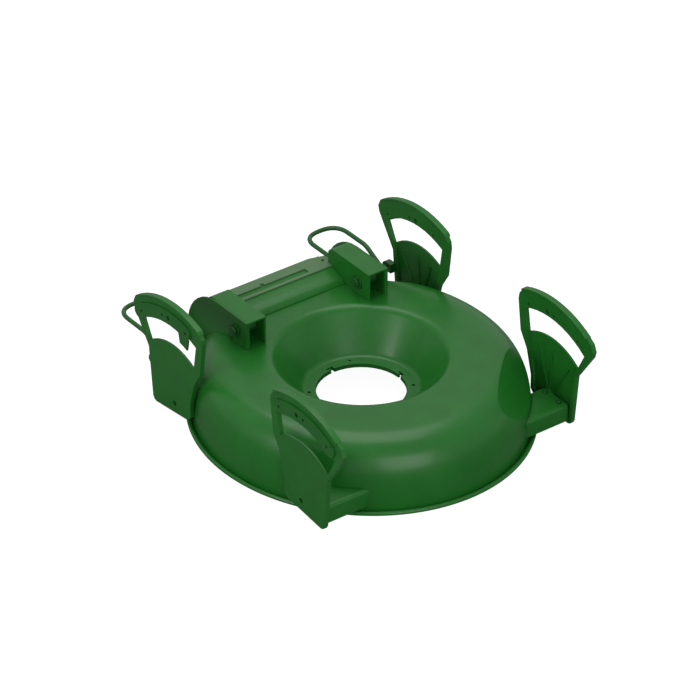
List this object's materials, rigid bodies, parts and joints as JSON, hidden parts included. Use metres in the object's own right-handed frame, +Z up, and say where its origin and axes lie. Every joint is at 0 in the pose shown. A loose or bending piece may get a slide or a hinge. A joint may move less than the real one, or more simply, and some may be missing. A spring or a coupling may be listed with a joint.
{
  "type": "walk-behind mower deck",
  "caption": "Ring-shaped pressed mower deck with rolled rim, engine bowl, rear cross box, handle channels, slotted height sectors on arms and hinged wire lift bails",
  "frame": {"origin": "centre of the bounding box, at the height of the rim's underside", "axes": "+Z up, -Y is the direction of travel, X across the deck"},
  "size_m": [0.56, 0.6742, 0.2195],
  "materials": {
    "deck_enamel": "satin gloss enamel over pressed steel",
    "sector_enamel": "satin enamel over cast metal",
    "plate_enamel": "satin enamel over stamped steel plate",
    "hardware_enamel": "satin enamel over steel fasteners",
    "wire_enamel": "satin enamel over bent steel wire"
  },
  "bodies": {
    "deck": {"deck_shell": "deck_enamel", "rim_hoop": "deck_enamel", "engine_seat_ring": "deck_enamel", "cross_box": "deck_enamel", "cover_plate": "deck_enamel", "handle_channel_right": "deck_enamel", "side_plate_right": "deck_enamel", "pivot_bolt_right": "hardware_enamel", "pivot_nut_right": "hardware_enamel", "pivot_washer_outer_right": "hardware_enamel", "pivot_washer_inner_right": "hardware_enamel", "pivot_spacer_right": "hardware_enamel", "foot_bolt_right": "hardware_enamel", "height_sector_front_right": "sector_enamel", "sector_cap_front_right": "sector_enamel", "support_arm_front_right": "sector_enamel", "index_plate_front_right": "plate_enamel", "arm_screw_front_right_1": "hardware_enamel", "arm_screw_front_right_2": "hardware_enamel", "height_sector_rear_right": "sector_enamel", "sector_cap_rear_right": "sector_enamel", "support_arm_rear_right": "sector_enamel", "index_plate_rear_right": "plate_enamel", "arm_screw_rear_right_1": "hardware_enamel", "arm_screw_rear_right_2": "hardware_enamel", "bail_eye_right": "hardware_enamel", "handle_channel_left": "deck_enamel", "side_plate_left": "deck_enamel", "pivot_bolt_left": "hardware_enamel", "pivot_nut_left": "hardware_enamel", "pivot_washer_outer_left": "hardware_enamel", "pivot_washer_inner_left": "hardware_enamel", "pivot_spacer_left": "hardware_enamel", "foot_bolt_left": "hardware_enamel", "height_sector_front_left": "sector_enamel", "sector_cap_front_left": "sector_enamel", "support_arm_front_left": "sector_enamel", "index_plate_front_left": "plate_enamel", "arm_screw_front_left_1": "hardware_enamel", "arm_screw_front_left_2": "hardware_enamel", "height_sector_rear_left": "sector_enamel", "sector_cap_rear_left": "sector_enamel", "support_arm_rear_left": "sector_enamel", "index_plate_rear_left": "plate_enamel", "arm_screw_rear_left_1": "hardware_enamel", "arm_screw_rear_left_2": "hardware_enamel", "bail_eye_left": "hardware_enamel"},
    "lift_bail_right": {"lift_bail_right": "wire_enamel"},
    "lift_bail_left": {"lift_bail_left": "wire_enamel"}
  },
  "joints": [
    {"name": "lift_bail_right_hinge", "type": "hinge", "parent": "deck", "child": "lift_bail_right", "pos_m": [0.19, 0.2062, 0.075], "axis": [1, 0, 0], "range_deg": [0, 95]},
    {"name": "lift_bail_left_hinge", "type": "hinge", "parent": "deck", "child": "lift_bail_left", "pos_m": [-0.19, 0.2062, 0.075], "axis": [1, 0, 0], "range_deg": [0, 95]}
  ]
}
